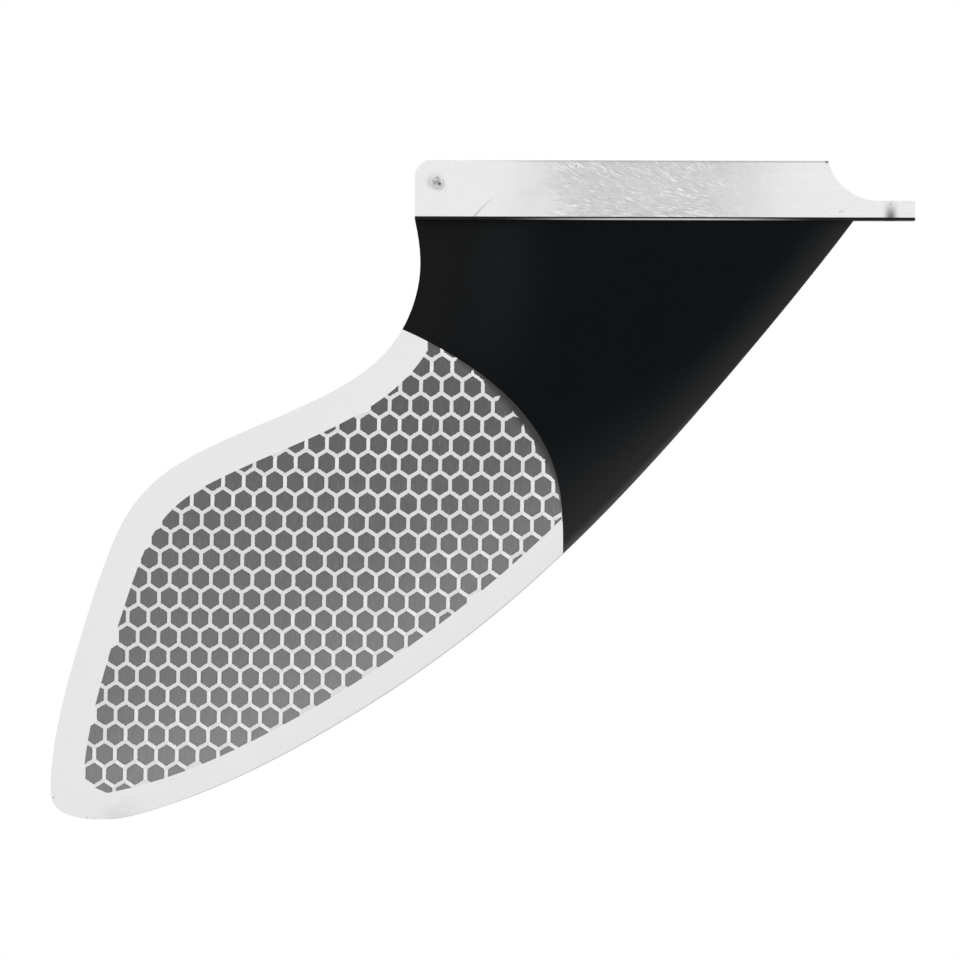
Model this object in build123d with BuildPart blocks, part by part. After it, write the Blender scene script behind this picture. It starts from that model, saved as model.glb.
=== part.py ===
from build123d import *
import os

# A swept paddleboard fin: a cast base that slides into the board's fin box, a rod through its rear
# that rides in the box's groove, and a foiled blade with a black root and a white honeycomb tip.
# X points to the board's nose, Y to port and Z up to the board. The origin is where the axis of the
# fixing screw meets the hull. Sizes are in millimetres.

# Base
base_length = 169.5
base_width = 9.3
base_height = 20.1
rear_corner_radius = 5.5
base_edge_chamfer = 0.4
notch_radius = 17.6
notch_foot_setback = 4.2
tab_height = 7.0
tab_reach = 8.3
screw_hole_diameter = 4.5

# Rod through the rear of the base: its free ends and the shank that the base holds
pin_diameter = 4.0
pin_length = 12.7
shank_diameter = 4.4
pin_inset = 7.3
pin_drop = 7.3
pin_chamfer = 0.25

# Blade
flange_thickness = 1.0
blade_setback = 12.3
blade_depth = 203.9
blade_rake = 123.0
root_thickness = 8.2
tip_thickness = 2.3
thickness_taper = 1.2
edge_thickness = 1.0
closing_ratio = 0.06

# Black laminate: how far behind the blade's front its lower edge meets the front edge
patch_setback = 98.4

# Honeycomb core
cell_pitch = 7.0
cell_row_pitch = 6.67
cell_wall = 1.2
core_turn = -0.9
core_setback = 195.1
core_drop = 129.3
rear_border = 11.0
front_border = 9.0
core_gap = 0.3
cell_cover = 0.15
smallest_cell = 3.0

# Places that follow from the sizes
rear_end = tab_reach - base_length
blade_front = -blade_setback
blade_length = blade_front - rear_end + blade_rake
patch_front = blade_front - patch_setback
pin_seat = (rear_end + pin_inset, 0, base_height - pin_drop)
cutter_reach = base_width

os.makedirs("parts", exist_ok=True)


def trailing_point(back, down):
    """A point of the rear outline, by shares of the blade's rake and depth."""
    return (rear_end - blade_rake * back, -blade_depth * down)


def leading_point(back, down):
    """A point of the front outline, by shares of the blade's length and depth."""
    return (blade_front - blade_length * back, -blade_depth * down)


# The blade's outline seen from the side: a hollow and then a full rear edge, and a front edge that
# sweeps back ever more towards the tip
with BuildLine() as trailing_line:
    trailing_edge = Spline(
        trailing_point(0, 0),
        trailing_point(-0.0154, 0.070),
        trailing_point(0.0, 0.1345),
        trailing_point(0.035, 0.184),
        trailing_point(0.104, 0.236),
        trailing_point(0.236, 0.2895),
        trailing_point(0.430, 0.343),
        trailing_point(0.617, 0.3965),
        trailing_point(0.739, 0.450),
        trailing_point(0.813, 0.5165),
        trailing_point(0.866, 0.5965),
        trailing_point(0.925, 0.7095),
        trailing_point(0.978, 0.834),
        trailing_point(1.0, 0.934),
        trailing_point(0.989, 0.976),
        trailing_point(0.950, 0.992),
        trailing_point(0.880, 1.0),
        tangents=[(0.35, -1), (1, 0)],
        tangent_scalars=[1, 0.4],
    )
with BuildLine() as leading_line:
    leading_edge = Spline(
        leading_point(0, 0),
        leading_point(0.146, 0.243),
        leading_point(0.3065, 0.4827),
        leading_point(0.487, 0.700),
        leading_point(0.668, 0.860),
        leading_point(0.8085, 0.953),
        leading_point(0.900, 0.9936),
        leading_point(0.9456, 1.0),
        tangents=[(-0.75, -1), (-1, 0)],
    )


def reach_at(edge, depth):
    """How far forward an edge of the outline stands at a depth below the hull."""
    above, below = 0.0, 1.0
    for _ in range(40):
        middle = (above + below) / 2
        if -(edge @ middle).Y < depth:
            above = middle
        else:
            below = middle
    return (edge @ above).X


def foil_side(nose, tail, thickness, side):
    """One side of a section: round at the nose, fullest at a third, and thin at the rear edge."""
    chord = nose - tail
    crown = side * thickness / 2
    return Bezier(
        (nose, 0),
        (nose, 0.52 * crown),
        (nose - 0.16 * chord, 1.24 * crown),
        (nose - 0.5 * chord, 1.16 * crown),
        (tail, side * edge_thickness / 2),
    )


station_shares = [0, 0.07, 0.135, 0.19, 0.235, 0.28, 0.325, 0.37, 0.42, 0.48]
station_shares += [0.56, 0.66, 0.76, 0.85, 0.91, 0.95, 0.969, 0.981, 0.9885, 0.9935, 0.997, 0.999]

# The foiled blade, lofted through level sections that thin out towards the tip
with BuildPart() as blade:
    for share in station_shares:
        depth = blade_depth * share
        nose = reach_at(leading_edge, depth)
        tail = reach_at(trailing_edge, depth)
        spread = (root_thickness - tip_thickness) * (1 - share) ** thickness_taper
        thickness = min(tip_thickness + spread, closing_ratio * (nose - tail))
        with BuildSketch(Plane.XY.offset(-depth)):
            with BuildLine():
                port = foil_side(nose, tail, thickness, 1)
                starboard = foil_side(nose, tail, thickness, -1)
                Line(port @ 1, starboard @ 1)
            make_face()
    loft()


def patch_point(back, down):
    """A point of the black laminate's lower edge, by shares of the blade's rake and depth."""
    return (patch_front - blade_rake * back, -blade_depth * down)


# The lower edge of the black laminate, a wide arc, and all that lies below it
with BuildSketch(Plane.XZ.offset(-cutter_reach)) as below_patch:
    with BuildLine():
        patch_edge = Spline(
            patch_point(0.736, 0.130),
            patch_point(0.500, 0.169),
            patch_point(0.295, 0.2295),
            patch_point(0.1146, 0.3188),
            patch_point(0.0252, 0.4105),
            patch_point(0, 0.5155),
            patch_point(0, 0.662),
        )
        Polyline(
            patch_edge @ 1,
            patch_point(0, 1.2),
            patch_point(2, 1.2),
            patch_point(2, 0.130),
            patch_edge @ 0,
        )
    make_face()


def inset_points(edge, shares, border, side):
    """Points a border's width inside an edge of the outline."""
    return [edge @ share + (edge % share).rotate(Axis.Z, 90 * side) * border for share in shares]


# The core's own outline, a border's width inside the blade's
rear_shares = [0.14, 0.2, 0.25, 0.3, 0.37, 0.44, 0.5, 0.56, 0.64, 0.75, 0.85, 0.915]
front_shares = [0.35, 0.5, 0.65, 0.8, 0.9, 0.985]
with BuildSketch(Plane.XZ) as core:
    with BuildLine():
        rear = Spline(*inset_points(trailing_edge, rear_shares, rear_border, 1))
        front = Spline(*inset_points(leading_edge, front_shares, front_border, -1))
        Line(rear @ 0, front @ 0)
        Line(rear @ 1, front @ 1)
    make_face()
    with Locations((-core_gap, -core_gap)):
        add(below_patch.sketch_local, mode=Mode.INTERSECT)
core_face = core.sketch_local.face()

# One cell of the core: the lattice's hexagon, drawn in by half a wall
cell_peak = cell_row_pitch * 2 / 3
with BuildSketch() as cell:
    with BuildLine():
        Polyline(
            (0, cell_peak),
            (-cell_pitch / 2, cell_peak / 2),
            (-cell_pitch / 2, -cell_peak / 2),
            (0, -cell_peak),
            (cell_pitch / 2, -cell_peak / 2),
            (cell_pitch / 2, cell_peak / 2),
            close=True,
        )
    make_face()
    offset(amount=-cell_wall / 2, kind=Kind.INTERSECTION)


def clipped_cells():
    """The outlines of all cells, whole ones and those that the core's outline cuts off."""
    seat = Location((-core_setback, -core_drop, 0), (0, 0, core_turn))
    span = core_face.bounding_box()
    rows = int(span.size.Y / cell_row_pitch) + 1
    columns = int(span.size.X / cell_pitch) + 1
    outlines = []
    for row in range(-rows, rows + 1):
        for column in range(-columns, columns + 1):
            shift = cell_pitch / 2 * (row % 2)
            place = seat * Location((column * cell_pitch + shift, row * cell_row_pitch, 0))
            outline = cell.sketch_local.face().moved(place)
            if not span.min.X - cell_pitch < place.position.X < span.max.X + cell_pitch:
                continue
            if not span.min.Y - cell_pitch < place.position.Y < span.max.Y + cell_pitch:
                continue
            corners_inside = [core_face.is_inside(corner.center()) for corner in outline.vertices()]
            if all(corners_inside):
                outlines.append(outline)
            elif any(corners_inside):
                outlines += [f for f in (outline & core_face).faces() if f.area > smallest_cell]
    return outlines


with BuildSketch(Plane.XZ.offset(-cutter_reach)) as pockets:
    add(clipped_cells())

# The white lower blade: its border and the webs between the cells
with BuildPart() as tip_laminate:
    add(blade.part)
    extrude(below_patch.sketch, amount=2 * cutter_reach, mode=Mode.INTERSECT)
    extrude(pockets.sketch, amount=2 * cutter_reach, clean=False, mode=Mode.SUBTRACT)

# The dark cells, each a straight prism that ends a cover's depth under the blade's two sides
skin = blade.faces().sort_by(SortBy.AREA)[-1]
cells = []
for outline in pockets.sketch.faces():
    prism = extrude(outline, amount=2 * cutter_reach, mode=Mode.PRIVATE)
    centre = outline.center()
    across = Axis((centre.X, 0, centre.Z), (0, 1, 0))
    for point, normal in skin.find_intersection_points(across):
        outward = normal if normal.Y * point.Y > 0 else -normal
        end = Plane(point - outward * cell_cover, z_dir=outward)
        prism = split(prism, bisect_by=end, keep=Keep.BOTTOM, mode=Mode.PRIVATE)
    cells.append(prism)
with BuildPart() as honeycomb_cells:
    add(cells, clean=False)

# The black root of the blade, with the flange that runs under the whole base
with BuildPart() as root_laminate:
    add(blade.part)
    extrude(below_patch.sketch, amount=2 * cutter_reach, mode=Mode.SUBTRACT)
    with Locations((tab_reach - base_length / 2, 0, 0)):
        Box(base_length, base_width, flange_thickness, align=(Align.CENTER, Align.CENTER, Align.MIN))
    with Locations((0, 0, flange_thickness)):
        Hole(screw_hole_diameter / 2, depth=flange_thickness)

# The cast base, with its rounded rear corner, its hollow notch and the tab for the screw
notch_foot = -notch_foot_setback
with BuildPart() as base_tongue:
    with BuildSketch(Plane.XZ.offset(-base_width / 2)):
        with Locations((rear_end, flange_thickness)):
            Rectangle(base_length, base_height - flange_thickness, align=Align.MIN)
        fillet(vertices().group_by(Axis.X)[0].sort_by(Axis.Y)[-1], rear_corner_radius)
        with Locations((notch_foot, tab_height)):
            Rectangle(base_length, base_height, align=Align.MIN, mode=Mode.SUBTRACT)
        with Locations((notch_foot, tab_height + notch_radius)):
            Circle(notch_radius, mode=Mode.SUBTRACT)
    extrude(amount=base_width)
    side_edges = faces().filter_by(Axis.Y).edges()
    eased_edges = side_edges.filter_by_position(Axis.Z, 2 * flange_thickness, base_height)
    chamfer(eased_edges, base_edge_chamfer)
    with Locations(pin_seat):
        Cylinder(shank_diameter / 2, base_width, rotation=(90, 0, 0), mode=Mode.SUBTRACT)
    with Locations((0, 0, tab_height)):
        Hole(screw_hole_diameter / 2, depth=tab_height)

# The rod through the base: a shank that can't creep out sideways, and cropped free ends
with BuildPart() as rear_pin:
    with Locations(pin_seat):
        Cylinder(pin_diameter / 2, pin_length, rotation=(90, 0, 0))
        end_faces = faces().filter_by(Axis.Y)
        chamfer(end_faces.edges(), pin_chamfer)
        Cylinder(shank_diameter / 2, base_width, rotation=(90, 0, 0))

base_tongue.part.label = "base_tongue"
rear_pin.part.label = "rear_pin"
root_laminate.part.label = "root_laminate"
tip_laminate.part.label = "tip_laminate"
honeycomb_cells.part.label = "honeycomb_cells"
for piece in (base_tongue, rear_pin, root_laminate, tip_laminate, honeycomb_cells):
    export_step(piece.part, f"parts/{piece.part.label}.step")
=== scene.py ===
import math

import bmesh
import bpy
from mathutils import Matrix, Vector
from mathutils.kdtree import KDTree
import numpy as np


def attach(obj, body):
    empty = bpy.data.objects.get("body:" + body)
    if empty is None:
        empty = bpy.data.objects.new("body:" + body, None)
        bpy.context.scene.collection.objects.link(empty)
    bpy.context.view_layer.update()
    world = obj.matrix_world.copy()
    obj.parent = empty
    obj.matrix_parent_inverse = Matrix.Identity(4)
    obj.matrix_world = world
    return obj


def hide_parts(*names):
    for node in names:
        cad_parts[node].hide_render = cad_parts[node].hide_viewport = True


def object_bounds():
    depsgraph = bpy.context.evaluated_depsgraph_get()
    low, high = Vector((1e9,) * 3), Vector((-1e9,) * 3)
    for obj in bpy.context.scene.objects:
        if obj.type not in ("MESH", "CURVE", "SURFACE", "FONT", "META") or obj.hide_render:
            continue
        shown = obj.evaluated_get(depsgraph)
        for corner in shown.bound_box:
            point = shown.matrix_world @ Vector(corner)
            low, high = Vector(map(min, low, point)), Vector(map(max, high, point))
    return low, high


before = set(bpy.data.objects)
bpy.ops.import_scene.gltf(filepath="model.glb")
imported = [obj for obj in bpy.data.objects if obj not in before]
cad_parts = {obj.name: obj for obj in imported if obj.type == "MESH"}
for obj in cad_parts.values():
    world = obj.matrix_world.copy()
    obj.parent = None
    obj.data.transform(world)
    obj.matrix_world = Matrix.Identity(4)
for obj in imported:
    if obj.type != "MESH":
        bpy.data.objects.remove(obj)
cad_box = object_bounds()

# Lengths are in metres. The camera looks to port at the fin, square to its side.
MILLIMETRE = 0.001
PIXEL = 0.339 * MILLIMETRE
FRAME_PIXELS = 960

# The origin, where the bore's axis meets the hull, shows at this pixel. The picture's scale is
# true on the blade's near side.
HULL_PIXEL = (890.3, 220.7)
CAMERA_DISTANCE = 2.5
CAMERA_ROLL = math.radians(0.155)
NEAR_SIDE = 2 * MILLIMETRE

# The core's lattice, as the part is made, and how far its fibres' ends stray
CELL_PITCH = 7.0 * MILLIMETRE
CELL_ROW_PITCH = 6.67 * MILLIMETRE
CELL_WALL = 1.2 * MILLIMETRE
CORE_TURN = math.radians(-0.9)
CORE_CENTRE = Vector((-195.1, 0, -129.3)) * MILLIMETRE
FIBRE_WANDER = 0.9 * MILLIMETRE
RIM_BITE = 0.08 * MILLIMETRE

# The arc along which the black laminate ends, the wider arc along which the webs fade out before
# it, and the rear and lower ends of that fade, with its softness there
PATCH_CENTRE = Vector((-181.5, 0, -108.1)) * MILLIMETRE
PATCH_RADIUS = 71.3 * MILLIMETRE
FADE_CENTRE = Vector((-212.1, 0, -133.8)) * MILLIMETRE
FADE_RADIUS = 108.6 * MILLIMETRE
CORE_REAR_END = -156.9 * MILLIMETRE
CORE_FRONT_END = -102.4 * MILLIMETRE
CORE_END_SOFTNESS = 0.3 * MILLIMETRE

# The front edge's line from the blade's front to its tip, and which way is inward
FRONT_EDGE_POINT = Vector((-200, 0, -180)) * MILLIMETRE
FRONT_EDGE_INWARD = Vector((-0.56, 0, 0.83))

# The blade's skin: how many corners round one its slope is taken from and how much the farthest
# counts, how squarely its faces look sideways, how well a slope must agree with its face, and
# the height at which it meets the flange
NEAR_CORNERS = 40
FARTHEST_WEIGHT = 0.05
LOOKS_SIDEWAYS = 0.75
SLOPE_AGREES = 0.9
SKIN_TOP = -0.1 * MILLIMETRE

# Corners this near are one corner, edges sharper than this stay sharp, and a corner of the white
# laminate this near to a cell's corner lies on the cell's rim
SAME_CORNER = 0.001 * MILLIMETRE
SHARP_ANGLE = math.radians(30)
ON_RIM = 0.1 * MILLIMETRE
PLACE_DIGITS = 7

# The base's heights, the front end of its top and the rod's place
BASE_TOP = 20.1 * MILLIMETRE
FLANGE_TOP = 1.0 * MILLIMETRE
BASE_PEAK = Vector((-21.5, 0, 20.2)) * MILLIMETRE
PIN_PLACE = Vector((-153.9, 0, 12.8)) * MILLIMETRE

# The webs' grey, and how much the pale pieces and the black one shine
WEB_LEVEL = 218
PALE_SHINE = 0.3
BLACK_SHINE = 0.08

# Small dark specks, by place and radius in millimetres
BASE_SPECKS = (
    ((-17.2, 0, 2.9), 0.1),
    ((-16.3, 0, 3.1), 0.08),
    ((-0.1, 0, 5.5), 0.1),
    ((-106.6, 0, 17.9), 0.15),
)
TIP_SPECKS = (
    ((-283.3, 0, -196.4), 0.25),
    ((-272.0, 0, -203.0), 0.2),
    ((-269.5, 0, -203.5), 0.2),
)


def mm(*lengths):
    """Lengths given in millimetres, in metres."""
    return [length * MILLIMETRE for length in lengths]


def grey(level):
    """The linear value that shows as an 8-bit screen level."""
    share = level / 255
    return ((share + 0.055) / 1.055) ** 2.4 if share > 0.04045 else share / 12.92


def shade(level, blue=0.0):
    """A near-neutral colour of one screen level, a little towards blue if asked."""
    value = grey(level)
    return (value * (1 - blue), value, value * (1 + blue), 1.0)


class Graph:
    """Adds nodes to a tree and links them as they are made."""

    def __init__(self, tree):
        self.tree = tree

    def add(self, kind, inputs=(), **settings):
        node = self.tree.nodes.new(kind)
        for name, value in settings.items():
            setattr(node, name, value)
        for key, value in dict(inputs).items():
            self.feed(node.inputs[key], value)
        return node

    def feed(self, socket, value):
        if isinstance(value, bpy.types.NodeSocket):
            self.tree.links.new(value, socket)
        else:
            socket.default_value = value

    def math(self, operation, first, second=0.0, third=0.0):
        inputs = {0: first, 1: second, 2: third}
        return self.add("ShaderNodeMath", inputs, operation=operation).outputs[0]

    def product(self, *values):
        result = values[0]
        for value in values[1:]:
            result = self.math("MULTIPLY", result, value)
        return result

    def vector(self, operation, first, second=(0, 0, 0), third=(0, 0, 0), out="Vector"):
        inputs = {0: first, 1: second, 2: third}
        return self.add("ShaderNodeVectorMath", inputs, operation=operation).outputs[out]

    def ramp(self, value, start, end, low=0.0, high=1.0, kind="SMOOTHSTEP"):
        """value carried from start..end to low..high, held at both ends."""
        limits = {"From Min": start, "From Max": end, "To Min": low, "To Max": high}
        node = self.add("ShaderNodeMapRange", {"Value": value, **limits}, interpolation_type=kind)
        return node.outputs["Result"]

    def mix(self, share, first, second):
        inputs = {0: share, 6: first, 7: second}
        return self.add("ShaderNodeMix", inputs, data_type="RGBA").outputs[2]

    def noise(self, vector, stretch, detail=2.0, roughness=0.5, turn=0.0):
        """Noise with 1/stretch metres to a lump along each axis, turned about Y."""
        turned = self.add("ShaderNodeVectorRotate", {0: vector, "Angle": turn, "Axis": (0, 1, 0)})
        scaled = self.vector("MULTIPLY", turned.outputs[0], stretch)
        inputs = {"Vector": scaled, "Scale": 1.0, "Detail": detail, "Roughness": roughness}
        return self.add("ShaderNodeTexNoise", inputs).outputs["Fac"]

    def group(self, tree, **inputs):
        """A node group placed with its own values: its outputs."""
        node = self.tree.nodes.new("ShaderNodeGroup")
        node.node_tree = tree
        for name, value in inputs.items():
            self.feed(node.inputs[name], value)
        return node.outputs


def new_group(name, inputs, outputs):
    """A shader node group with named sockets: its tree, graph, source and result nodes."""
    tree = bpy.data.node_groups.new(name, "ShaderNodeTree")
    for direction, sockets in (("INPUT", inputs), ("OUTPUT", outputs)):
        for label, kind in sockets.items():
            tree.interface.new_socket(label, in_out=direction, socket_type=f"NodeSocket{kind}")
    graph = Graph(tree)
    return tree, graph, graph.add("NodeGroupInput"), graph.add("NodeGroupOutput")


def axes_of(graph, position):
    """The X, Y and Z of a position."""
    return graph.add("ShaderNodeSeparateXYZ", {0: position}).outputs


def core_colour(graph, position, inward, depth, shadow):
    """The cells' grey: paler down towards the tip and near the front edge, dark by the patch."""
    dark, pale = shade(90), shade(138)
    pale_fibre, dark_fibre = shade(165), shade(70)
    rim_grey, shadow_grey = shade(72), shade(50)
    top, bottom = mm(-64, -184)
    far_inside, at_front = mm(45, 9)
    rim_width = 0.6 * MILLIMETRE

    z = axes_of(graph, position)[2]
    down = graph.ramp(z, top, bottom, 0.0, 0.6, kind="LINEAR")
    forward = graph.ramp(inward, far_inside, at_front, 0.0, 0.35, kind="LINEAR")
    body = graph.mix(graph.math("ADD", down, forward), dark, pale)
    streaks = graph.noise(position, (3600, 100, 260), detail=1.0)
    body = graph.mix(graph.ramp(streaks, 0.5, 0.85, 0.0, 0.2), body, pale_fibre)
    body = graph.mix(graph.ramp(streaks, 0.5, 0.15, 0.0, 0.3), body, dark_fibre)
    body = graph.mix(graph.ramp(depth, 0.0, rim_width, 0.3, 0.0), body, rim_grey)
    return graph.mix(graph.product(shadow, 0.92), body, shadow_grey)


def ragged_place(graph, position):
    """The place seen from the side, and the same a little off, as fibres end early or late."""
    flat = graph.vector("MULTIPLY", position, (1, 0, 1))
    columns = graph.noise(position, (3400, 0, 300), detail=0.0)
    rows = graph.noise(position, (300, 0, 2400), detail=0.0)
    sideways = graph.product(graph.math("SUBTRACT", rows, 0.5), FIBRE_WANDER * 0.5)
    upward = graph.product(graph.math("SUBTRACT", columns, 0.5), FIBRE_WANDER)
    off = graph.add("ShaderNodeCombineXYZ", {"X": sideways, "Z": upward})
    return flat, graph.vector("ADD", flat, off.outputs[0])


def cell_depth(graph, ragged):
    """How far inside its cell a place is: the deeper of two grids of cells half a step apart."""
    moved = graph.vector("SUBTRACT", ragged, CORE_CENTRE)
    turn = {0: moved, "Angle": CORE_TURN, "Axis": (0, 1, 0)}
    turned = graph.add("ShaderNodeVectorRotate", turn).outputs[0]
    half = Vector((CELL_PITCH / 2, 1.0, CELL_ROW_PITCH))
    slant = Vector((CELL_ROW_PITCH / 3, 0, CELL_PITCH / 2)).normalized()
    slant_reach = slant.z * CELL_ROW_PITCH * 2 / 3
    depths = []
    for shift in ((0, 0, 0), (half.x, 0, half.z)):
        local = graph.vector("ADD", turned, shift)
        wrapped = graph.vector("WRAP", local, half, -half)
        folded = graph.vector("ABSOLUTE", wrapped)
        across = graph.vector("DOT_PRODUCT", folded, (1, 0, 0), out="Value")
        slanted = graph.vector("DOT_PRODUCT", folded, slant, out="Value")
        to_side = graph.math("SUBTRACT", CELL_PITCH / 2, across)
        to_slant = graph.math("SUBTRACT", slant_reach, slanted)
        depths.append(graph.math("MINIMUM", to_side, to_slant))
    return graph.math("SUBTRACT", graph.math("MAXIMUM", *depths), (CELL_WALL + RIM_BITE) / 2)


def core_lattice_group():
    """Where a point lies in the core, seen from the side.

    Ragged Depth is how far it is inside its cell's uneven rim, and Inward how far it is from the
    blade's front edge. Cover hides the webs beside the black laminate, Strip is the narrow rest
    along its edge, and Core Color is the cells' grey.
    """
    masks = ("Ragged Depth", "Inward", "Cover", "Strip")
    outputs = {**dict.fromkeys(masks, "Float"), "Core Color": "Color"}
    tree, graph, source, result = new_group("Core lattice", {"Position": "Vector"}, outputs)
    position = source.outputs["Position"]
    flat, ragged = ragged_place(graph, position)
    depth = cell_depth(graph, ragged)
    from_edge = graph.vector("SUBTRACT", position, FRONT_EDGE_POINT)
    inward = graph.vector("DOT_PRODUCT", from_edge, FRONT_EDGE_INWARD, out="Value")

    x, _, z = axes_of(graph, flat)
    behind_rear = graph.ramp(x, CORE_REAR_END, CORE_REAR_END + CORE_END_SOFTNESS)
    above_front = graph.ramp(z, CORE_FRONT_END, CORE_FRONT_END + CORE_END_SOFTNESS)
    near_patch = graph.product(behind_rear, above_front)
    from_patch = graph.vector("DISTANCE", flat, PATCH_CENTRE, out="Value")
    gap = graph.math("SUBTRACT", PATCH_RADIUS, from_patch)
    strip = graph.ramp(gap, *mm(0.35, 0.55), 1.0, 0.0)

    # The webs fade out along the wider arc and last longest in their middle, so they end in spikes
    from_fade = graph.vector("DISTANCE", ragged, FADE_CENTRE, out="Value")
    left = graph.math("SUBTRACT", FADE_RADIUS, from_fade)
    spiky = graph.math("MULTIPLY_ADD", depth, -1.6, left)
    cover = graph.ramp(spiky, *mm(0.35, 0.85), 1.0, 0.0)
    shadow = graph.ramp(left, *mm(-1.9, 2.1), 1.0, 0.0)
    shadow = graph.product(shadow, near_patch)

    graph.feed(result.inputs["Ragged Depth"], depth)
    graph.feed(result.inputs["Inward"], inward)
    graph.feed(result.inputs["Cover"], graph.product(cover, near_patch))
    graph.feed(result.inputs["Strip"], graph.product(strip, near_patch))
    grey_of_core = core_colour(graph, position, inward, depth, shadow)
    graph.feed(result.inputs["Core Color"], grey_of_core)
    return tree


def resin_group():
    """Slow and fine unevenness of cast or laminated resin."""
    inputs = {"Position": "Vector", "Base": "Color", "Amount": "Float"}
    outputs = {"Color": "Color", "Roughness": "Float"}
    tree, graph, source, result = new_group("Resin unevenness", inputs, outputs)
    position = source.outputs["Position"]
    slow = graph.noise(position, (40, 40, 40), detail=3.0)
    fine = graph.noise(position, (700, 700, 700), detail=3.0, roughness=0.6)
    blend = graph.math("ADD", graph.product(slow, 0.7), graph.product(fine, 0.3))
    swing = graph.product(graph.math("SUBTRACT", blend, 0.5), source.outputs["Amount"])
    brightness = graph.math("ADD", swing, 1.0)
    scale = {0: source.outputs["Base"], "Scale": brightness}
    scaled = graph.add("ShaderNodeVectorMath", scale, operation="SCALE").outputs[0]
    graph.feed(result.inputs["Color"], scaled)
    graph.feed(result.inputs["Roughness"], graph.ramp(fine, 0.2, 0.8, 0.16, 0.3))
    return tree


def spot_group():
    """1 inside a disc seen from the side, fading to 0 over its soft rim."""
    inputs = {"Position": "Vector", "Centre": "Vector", "Radius": "Float", "Softness": "Float"}
    tree, graph, source, result = new_group("Spot", inputs, {"Mask": "Float"})
    position, centre, radius, softness = (source.outputs[name] for name in inputs)
    flat_position = graph.vector("MULTIPLY", position, (1, 0, 1))
    flat_centre = graph.vector("MULTIPLY", centre, (1, 0, 1))
    away = graph.vector("DISTANCE", flat_position, flat_centre, out="Value")
    outer = graph.math("ADD", radius, softness)
    graph.feed(result.inputs["Mask"], graph.ramp(away, radius, outer, 1.0, 0.0))
    return tree


CORE_LATTICE = core_lattice_group()
RESIN = resin_group()
SPOT = spot_group()


def spot(graph, position, centre, radius, softness):
    """The mask of one soft round spot."""
    spread = {"Radius": radius, "Softness": softness}
    return graph.group(SPOT, Position=position, Centre=centre, **spread)["Mask"]


def with_specks(graph, position, colour, specks, softness, share, speck_colour):
    """The colour with small dark specks in it."""
    for place, radius in specks:
        centre = Vector(place) * MILLIMETRE
        speck = spot(graph, position, centre, radius * MILLIMETRE, softness)
        colour = graph.mix(graph.product(speck, share), colour, speck_colour)
    return colour


def new_material(name):
    """A node material: its graph, its Principled node and the object's own coordinates."""
    material = bpy.data.materials.new(name)
    material.use_nodes = True
    material.node_tree.nodes.clear()
    graph = Graph(material.node_tree)
    surface = graph.add("ShaderNodeBsdfPrincipled")
    output = graph.add("ShaderNodeOutputMaterial")
    graph.feed(output.inputs["Surface"], surface.outputs[0])
    position = graph.add("ShaderNodeTexCoord").outputs["Object"]
    return material, graph, surface, position


def white_laminate():
    """Milky glass laminate: the border and the webs, hidden beside the black laminate."""
    border, web, nose_shade_grey, speck_grey = shade(229), shade(WEB_LEVEL), shade(150), shade(110)
    material, graph, surface, position = new_material("white laminate")
    resin = graph.group(RESIN, Position=position, Base=border, Amount=0.04)
    lattice = graph.group(CORE_LATTICE, Position=position)
    in_core = graph.add("ShaderNodeAttribute", attribute_name="in_core").outputs["Fac"]
    colour = graph.mix(in_core, resin["Color"], web)
    hidden = graph.math("MAXIMUM", lattice["Cover"], lattice["Strip"])
    colour = graph.mix(hidden, colour, lattice["Core Color"])

    # Painted shade: the thin front edge is greyer, as its rounded nose turns from the light, and
    # the tip has a few specks
    half = graph.math("ABSOLUTE", axes_of(graph, position)[1])
    thin = graph.ramp(half, *mm(0.12, 0.34), 1.0, 0.0)
    at_front = graph.ramp(lattice["Inward"], *mm(10, 30), 1.0, 0.0)
    colour = graph.mix(graph.product(thin, at_front, 0.7), colour, nose_shade_grey)
    softness = 0.25 * MILLIMETRE
    colour = with_specks(graph, position, colour, TIP_SPECKS, softness, 0.4, speck_grey)
    graph.feed(surface.inputs["Base Color"], colour)
    graph.feed(surface.inputs["Roughness"], resin["Roughness"])
    surface.inputs["Specular IOR Level"].default_value = PALE_SHINE
    return material


def core_cells():
    """Dark fibre cells under clear resin, with ragged pale rims and fine upright streaks."""
    web = shade(WEB_LEVEL)
    material, graph, surface, position = new_material("core cells")
    lattice = graph.group(CORE_LATTICE, Position=position)
    depth = lattice["Ragged Depth"]
    rim = graph.ramp(depth, *mm(-0.05, 0.06), 1.0, 0.0)
    bare = graph.math("SUBTRACT", 1.0, lattice["Cover"])
    colour = graph.mix(graph.product(rim, bare), lattice["Core Color"], web)
    graph.feed(surface.inputs["Base Color"], colour)
    surface.inputs["Roughness"].default_value = 0.3
    surface.inputs["Specular IOR Level"].default_value = PALE_SHINE
    return material


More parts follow.
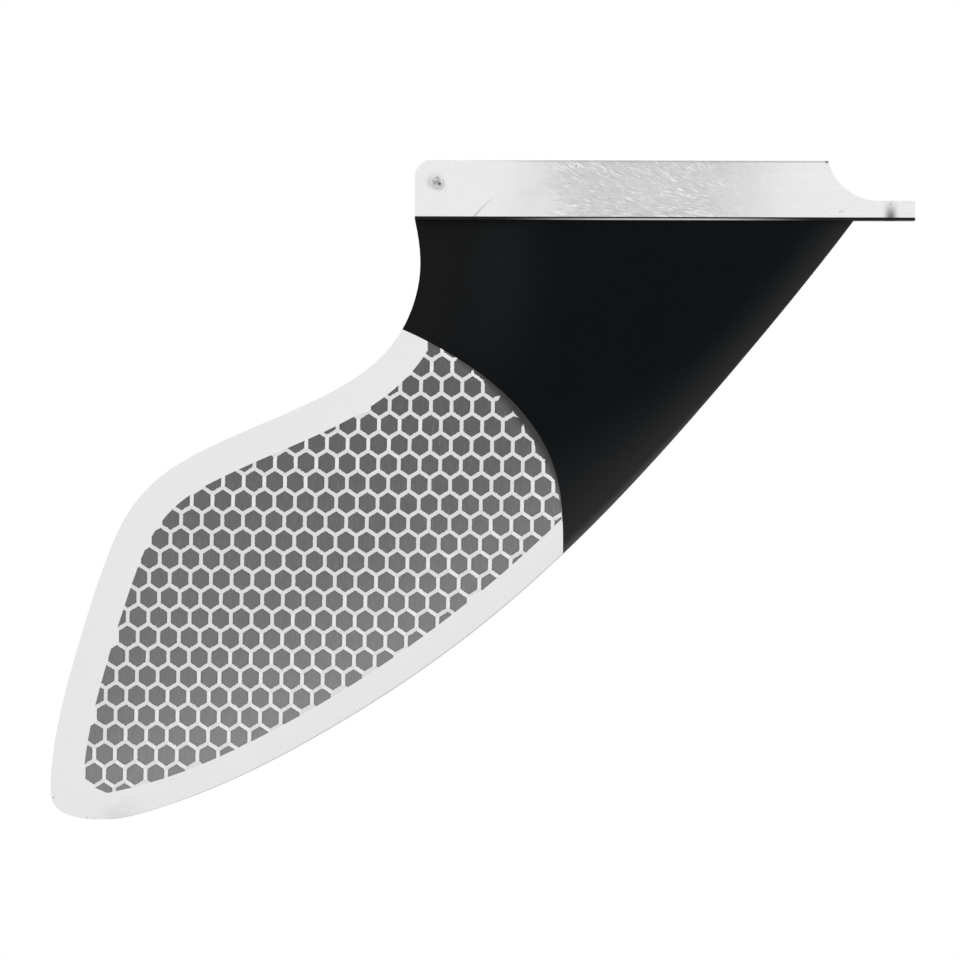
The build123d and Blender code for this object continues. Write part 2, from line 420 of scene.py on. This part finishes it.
def black_laminate():
    """Polished black resin with painted sheen, paler where the blade thins out, over a duller
    flange.
    """
    black, rear_sheen, front_sheen = shade(9, blue=0.35), shade(24), shade(44)
    edge_highlight_grey, flange_grey, reflection_pale = shade(90), shade(30), shade(200)
    material, graph, surface, position = new_material("black laminate")
    x, y, z = axes_of(graph, position)
    resin = graph.group(RESIN, Position=position, Base=black, Amount=0.3)

    # Painted sheen: where the blade is thin, the front half is paler than the rear and its very
    # edge is grey, as its rounded edges catch the light
    half = graph.math("ABSOLUTE", y)
    thin = graph.ramp(half, *mm(0.7, 2.9), 1.0, 0.0)
    edge = graph.ramp(half, *mm(0.3, 0.9), 1.0, 0.0)
    forward = graph.ramp(x, *mm(-150, -120))
    backward = graph.math("SUBTRACT", 0.6, graph.product(forward, 0.6))
    low = graph.ramp(z, *mm(-40, -90), 0.1, 0.5)
    colour = graph.mix(graph.product(thin, forward, 0.75), resin["Color"], front_sheen)
    colour = graph.mix(graph.product(thin, backward), colour, rear_sheen)
    colour = graph.mix(graph.product(edge, forward, low), colour, edge_highlight_grey)

    # The flange's edge, with a painted reflection: a bright line along its lower corner in the
    # middle
    flange = graph.ramp(z, -0.15 * MILLIMETRE, 0.0)
    colour = graph.mix(flange, colour, flange_grey)
    from_rear = graph.ramp(x, *mm(-134, -86))
    to_front = graph.ramp(x, *mm(-66, -24), 1.0, 0.0)
    corner = graph.ramp(z, *mm(0.3, 0.65), 1.0, 0.0)
    painted_reflection = graph.product(corner, flange, from_rear, to_front)
    colour = graph.mix(graph.product(painted_reflection, 0.95), colour, reflection_pale)
    graph.feed(surface.inputs["Base Color"], colour)
    graph.feed(surface.inputs["Roughness"], resin["Roughness"])
    surface.inputs["Specular IOR Level"].default_value = BLACK_SHINE
    return material


def milky_base(graph, x, slow, fine):
    """The base's two milky ends and its greyer middle, mottled, with a soft wandering limit."""
    milky, middle_grey, light_lump, dark_lump = shade(230), shade(200), shade(245), shade(170)
    wander = graph.math("MULTIPLY_ADD", graph.math("SUBTRACT", slow, 0.5), 20 * MILLIMETRE, x)
    rear = graph.ramp(wander, *mm(-136, -100))
    nose = graph.ramp(wander, *mm(-72, -22), 1.0, 0.0)
    middle = graph.product(rear, nose)
    colour = graph.mix(middle, milky, middle_grey)
    mottle = graph.ramp(fine, 0.3, 0.7, -1.0, 1.0, kind="LINEAR")
    amount = graph.math("MULTIPLY_ADD", middle, 0.1, 0.04)
    lighter = graph.product(graph.math("MAXIMUM", mottle, 0.0), amount)
    darker = graph.product(graph.math("MINIMUM", mottle, 0.0), amount, -1.0)
    colour = graph.mix(lighter, colour, light_lump)
    return graph.mix(darker, colour, dark_lump)


def with_glass_fibres(graph, position, colour):
    """Bundles of glass fibre that run down towards the front, flatter near the flange."""
    bright_fibre, dark_fibre = shade(246), shade(158)
    x, _, z = axes_of(graph, position)
    height = graph.ramp(z, FLANGE_TOP, BASE_TOP, 0.0, 1.0, kind="LINEAR")
    grain = {"stretch": (300, 500, 2900), "detail": 2.0, "roughness": 0.7}
    steep = graph.noise(position, turn=math.radians(-29), **grain)
    flat = graph.noise(position, turn=math.radians(-11), **grain)
    fibre = graph.add("ShaderNodeMix", {0: height, 2: flat, 3: steep}).outputs[0]
    from_rear = graph.ramp(x, *mm(-124, -106))
    to_front = graph.ramp(x, *mm(-66, -48), 1.0, 0.15)
    lumps = graph.noise(position, (160, 160, 260), detail=1.0)
    bundles = graph.ramp(lumps, 0.3, 0.6, 0.35, 1.0)
    woven = graph.product(from_rear, to_front, bundles)
    bright = graph.product(graph.ramp(fibre, 0.52, 0.66), woven, 0.95)
    dark = graph.product(graph.ramp(fibre, 0.46, 0.33), woven, 0.6)
    colour = graph.mix(bright, colour, bright_fibre)
    return graph.mix(dark, colour, dark_fibre)


def with_layer_line(graph, position, slow, colour):
    """A faint slanting line where one layer ends, from the flange up to the top."""
    line_grey = shade(165)
    foot = Vector((-140.6, 0, 1.5)) * MILLIMETRE
    square_to_line = (0.66, 0, -0.75)
    from_foot = graph.vector("SUBTRACT", position, foot)
    across = graph.vector("DOT_PRODUCT", from_foot, square_to_line, out="Value")
    bend = graph.product(graph.math("SUBTRACT", slow, 0.5), 3 * MILLIMETRE)
    off_line = graph.math("ABSOLUTE", graph.math("ADD", across, bend))
    line = graph.ramp(off_line, *mm(0.1, 0.5), 1.0, 0.0)
    z = axes_of(graph, position)[2]
    fades = graph.ramp(z, *mm(2.0, 9.5), 0.6, 0.04)
    return graph.mix(graph.product(line, fades), colour, line_grey)


def with_base_details(graph, position, colour):
    """Painted shadow of the bore; darker round the rod, at the notch's peak, on the top edge and
    in specks.
    """
    bore_shadow_grey, halo_grey, peak_grey, top_grey = shade(80), shade(150), shade(40), shade(150)
    eased_pale, speck_grey = shade(252), shade(50)
    x, y, z = axes_of(graph, position)
    half = graph.math("ABSOLUTE", y)
    # Painted shadow of the bore, seen through the translucent base, strongest low down
    bore = graph.ramp(graph.math("ABSOLUTE", x), *mm(0.2, 3.0), 1.0, 0.0)
    low = graph.ramp(z, *mm(1.0, 6.5), 0.85, 0.12)
    colour = graph.mix(graph.product(bore, low), colour, bore_shadow_grey)
    halo = spot(graph, position, PIN_PLACE, *mm(1.9, 1.7))
    colour = graph.mix(graph.product(halo, 0.22), colour, halo_grey)
    outer = graph.ramp(half, *mm(3.4, 4.1))
    peak = spot(graph, position, BASE_PEAK, *mm(0.45, 0.9))
    colour = graph.mix(graph.product(peak, outer, 0.9), colour, peak_grey)
    edge = graph.ramp(z, BASE_TOP - 0.9 * MILLIMETRE, BASE_TOP - 0.4 * MILLIMETRE)
    top = graph.ramp(x, *mm(-145, -110), 0.0, 0.45)
    colour = graph.mix(graph.product(edge, outer, top), colour, top_grey)

    # The eased edges below the top catch the light
    eased = graph.ramp(half, *mm(4.6, 4.5))
    below_top = graph.math("SUBTRACT", 1.0, edge)
    colour = graph.mix(graph.product(eased, below_top), colour, eased_pale)
    softness = 0.2 * MILLIMETRE
    return with_specks(graph, position, colour, BASE_SPECKS, softness, 0.8, speck_grey)


def cast_base():
    """Translucent cast glass and resin: fibres in the middle, milky and pale at both ends."""
    material, graph, surface, position = new_material("cast base")
    slow = graph.noise(position, (70, 70, 70), detail=3.0)
    fine = graph.noise(position, (600, 600, 600), detail=4.0, roughness=0.65)
    colour = milky_base(graph, axes_of(graph, position)[0], slow, fine)
    colour = with_glass_fibres(graph, position, colour)
    colour = with_layer_line(graph, position, slow, colour)
    colour = with_base_details(graph, position, colour)
    graph.feed(surface.inputs["Base Color"], colour)
    graph.feed(surface.inputs["Roughness"], graph.ramp(fine, 0.2, 0.8, 0.3, 0.5))
    surface.inputs["Specular IOR Level"].default_value = PALE_SHINE
    return material


def pin_metal():
    """Sawn metal rod, with a painted highlight on its rim and painted shade in one dent in its
    end.
    """
    dull, bright, rim_highlight_pale, dent_shade_dark = shade(150), shade(205), shade(230), shade(35)
    dent_place = PIN_PLACE + Vector((1.2, 0, -0.9)) * MILLIMETRE
    material, graph, surface, position = new_material("pin metal")
    marks = graph.noise(position, (1100, 200, 900), detail=4.0, roughness=0.7, turn=0.6)
    colour = graph.mix(graph.ramp(marks, 0.38, 0.62), dull, bright)
    # Painted highlight on the end's chamfered rim, and painted shade where a small dent is
    inner = spot(graph, position, PIN_PLACE, *mm(1.6, 0.15))
    colour = graph.mix(graph.math("SUBTRACT", 1.0, inner), colour, rim_highlight_pale)
    dent = spot(graph, position, dent_place, *mm(0.2, 0.45))
    colour = graph.mix(dent, colour, dent_shade_dark)
    graph.feed(surface.inputs["Base Color"], colour)
    graph.feed(surface.inputs["Roughness"], graph.ramp(marks, 0.2, 0.8, 0.4, 0.6))
    surface.inputs["Metallic"].default_value = 0.1
    return material


def merged_copy(node):
    """A CAD node's mesh with the corners that its faces share made one."""
    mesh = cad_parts[node].data.copy()
    shell = bmesh.new()
    shell.from_mesh(mesh)
    bmesh.ops.remove_doubles(shell, verts=shell.verts, dist=SAME_CORNER)
    shell.to_mesh(mesh)
    shell.free()
    mesh.shade_smooth()
    mesh.set_sharp_from_angle(angle=SHARP_ANGLE)
    return mesh


def dress(node, mesh, material):
    """A finished mesh stands for a CAD node."""
    mesh.materials.clear()
    mesh.materials.append(material)
    piece = bpy.data.objects.new(f"{node}_finished", mesh)
    bpy.context.scene.collection.objects.link(piece)
    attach(piece, "root")
    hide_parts(node)


def skin_polygons(mesh):
    """The faces of the blade's two sides: neither rims and edges nor the flange."""
    for polygon in mesh.polygons:
        if abs(polygon.normal.y) > LOOKS_SIDEWAYS and polygon.center.z < SKIN_TOP:
            yield polygon, 1 if polygon.normal.y > 0 else -1


def fitted_slope(point, near):
    """The slope at a corner of the smooth surface that passes nearest the corners round it."""
    reach = max((other - point).length for other in near)
    rows, heights = [], []
    for other in near:
        x, z = (other.x - point.x) / reach, (other.z - point.z) / reach
        weight = 1.0 + FARTHEST_WEIGHT - min(1.0, math.hypot(x, z))
        rows.append([weight * term for term in (1, x, z, x * x, x * z, z * z)])
        heights.append(weight * (other.y - point.y) / reach)
    fit = np.linalg.lstsq(np.array(rows), np.array(heights), rcond=1e-6)[0]
    return Vector((-fit[1], 1.0, -fit[2])).normalized()


def skin_slopes(meshes):
    """The blade's true slope at each corner of its two sides, from the corners round it.

    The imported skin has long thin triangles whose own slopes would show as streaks.
    """
    sides = {1: {}, -1: {}}
    for mesh in meshes:
        for polygon, side in skin_polygons(mesh):
            for index in polygon.vertices:
                point = mesh.vertices[index].co
                sides[side][point.to_tuple(PLACE_DIGITS)] = point.copy()
    slopes = {}
    for side, corners in sides.items():
        points = list(corners.values())
        tree = KDTree(len(points))
        for index, point in enumerate(points):
            tree.insert((point.x, 0, point.z), index)
        tree.balance()
        near, fitted = {}, {}
        for key, point in corners.items():
            found = tree.find_n((point.x, 0, point.z), NEAR_CORNERS)
            near[key] = [points[index] for _, index, _ in found]
            fitted[key] = fitted_slope(point, near[key]) * side
        for key in corners:
            total = sum((fitted[other.to_tuple(PLACE_DIGITS)] for other in near[key]), Vector())
            slopes[(side, key)] = total.normalized()
    return slopes


def smooth_skin(mesh, slopes):
    """Gives the blade's two sides their true slopes and leaves rims and edges as they are."""
    corner_normals = [Vector(corner.vector) for corner in mesh.corner_normals]
    for polygon, side in skin_polygons(mesh):
        for loop in polygon.loop_indices:
            point = mesh.vertices[mesh.loops[loop].vertex_index].co
            slope = slopes[(side, point.to_tuple(PLACE_DIGITS))]
            if slope.dot(polygon.normal) > SLOPE_AGREES:
                corner_normals[loop] = slope
    mesh.normals_split_custom_set(corner_normals)


def mark_core(mesh, cells):
    """1 on the faces between cells and 0 on the border and its edges, as an attribute."""
    tree = KDTree(len(cells.vertices))
    for index, vertex in enumerate(cells.vertices):
        tree.insert((vertex.co.x, 0, vertex.co.z), index)
    tree.balance()
    gaps = [tree.find((vertex.co.x, 0, vertex.co.z))[2] for vertex in mesh.vertices]
    attribute = mesh.attributes.new("in_core", "FLOAT", "FACE")
    for polygon in mesh.polygons:
        widest = max(gaps[index] for index in polygon.vertices)
        attribute.data[polygon.index].value = 1.0 if widest < ON_RIM else 0.0


def add_light(name, place, target, size, power):
    """A square soft light that faces a target."""
    lamp = bpy.data.lights.new(name, "AREA")
    lamp.shape = "SQUARE"
    lamp.size = size
    lamp.energy = power
    holder = bpy.data.objects.new(name, lamp)
    bpy.context.scene.collection.objects.link(holder)
    holder.location = place
    holder.rotation_euler = (target - place).to_track_quat("-Z", "Y").to_euler()


def lay_floor(middle):
    """A pale round floor well below the fin."""
    drop = 0.34
    radius = 0.42
    disc = bmesh.new()
    bmesh.ops.create_circle(disc, cap_ends=True, segments=96, radius=radius)
    bmesh.ops.translate(disc, verts=disc.verts, vec=(middle.x, middle.y, -drop))
    mesh = bpy.data.meshes.new("floor")
    disc.to_mesh(mesh)
    disc.free()
    floor = bpy.data.objects.new("floor", mesh)
    bpy.context.scene.collection.objects.link(floor)
    material, _, surface, _ = new_material("floor")
    surface.inputs["Base Color"].default_value = shade(245)
    surface.inputs["Roughness"].default_value = 0.9
    mesh.materials.append(material)


def surround_with_white():
    """A world that shows as white and lights the fin less strongly."""
    seen_strength = 1.0
    lighting_strength = 0.55
    world = bpy.data.worlds.new("surround")
    bpy.context.scene.world = world
    world.use_nodes = True
    world.node_tree.nodes.clear()
    sky = Graph(world.node_tree)
    rays = sky.add("ShaderNodeLightPath").outputs
    seen = sky.math("MAXIMUM", rays["Is Camera Ray"], rays["Is Transmission Ray"])
    strength = sky.ramp(seen, 0.0, 1.0, lighting_strength, seen_strength, kind="LINEAR")
    light = sky.add("ShaderNodeBackground", {"Color": (1, 1, 1, 1), "Strength": strength})
    output = sky.add("ShaderNodeOutputWorld")
    sky.feed(output.inputs["Surface"], light.outputs[0])


def build_studio(middle):
    """The floor, the surround and soft lamps, each by its place from the fin, size and power."""
    lay_floor(middle)
    surround_with_white()
    lamps = {
        "key": ((-0.7, -1.0, 0.9), 0.9, 9.0),
        "fill": ((0.9, -0.9, 0.3), 0.9, 5.0),
        "rim": ((0.2, 1.0, 0.8), 0.8, 6.0),
    }
    for name, (place, size, power) in lamps.items():
        add_light(name, middle + Vector(place), middle, size, power)


def place_camera():
    """The photograph's view: square on, from the photograph's middle."""
    lens = bpy.data.cameras.new("camera")
    lens.sensor_width = 36.0
    half_frame = FRAME_PIXELS * PIXEL / 2
    lens.lens = lens.sensor_width / 2 * (CAMERA_DISTANCE - NEAR_SIDE) / half_frame
    lens.clip_start = 0.01
    camera = bpy.data.objects.new("camera", lens)
    bpy.context.scene.collection.objects.link(camera)
    offset = Vector((FRAME_PIXELS / 2 - HULL_PIXEL[0], 0, HULL_PIXEL[1] - FRAME_PIXELS / 2))
    offset = Matrix.Rotation(-CAMERA_ROLL, 3, "Y") @ (offset * PIXEL)
    camera.location = (offset.x, -CAMERA_DISTANCE, offset.z)
    camera.rotation_euler = (math.pi / 2, -CAMERA_ROLL, 0.0)
    bpy.context.scene.camera = camera


bpy.context.scene.view_settings.view_transform = "Standard"
low, high = cad_box
place_camera()
build_studio((low + high) / 2)

root_mesh = merged_copy("root_laminate")
tip_mesh = merged_copy("tip_laminate")
cell_mesh = merged_copy("honeycomb_cells")
slopes = skin_slopes((root_mesh, tip_mesh))
smooth_skin(root_mesh, slopes)
smooth_skin(tip_mesh, slopes)
mark_core(tip_mesh, cell_mesh)
dress("base_tongue", merged_copy("base_tongue"), cast_base())
dress("rear_pin", merged_copy("rear_pin"), pin_metal())
dress("root_laminate", root_mesh, black_laminate())
dress("tip_laminate", tip_mesh, white_laminate())
dress("honeycomb_cells", cell_mesh, core_cells())
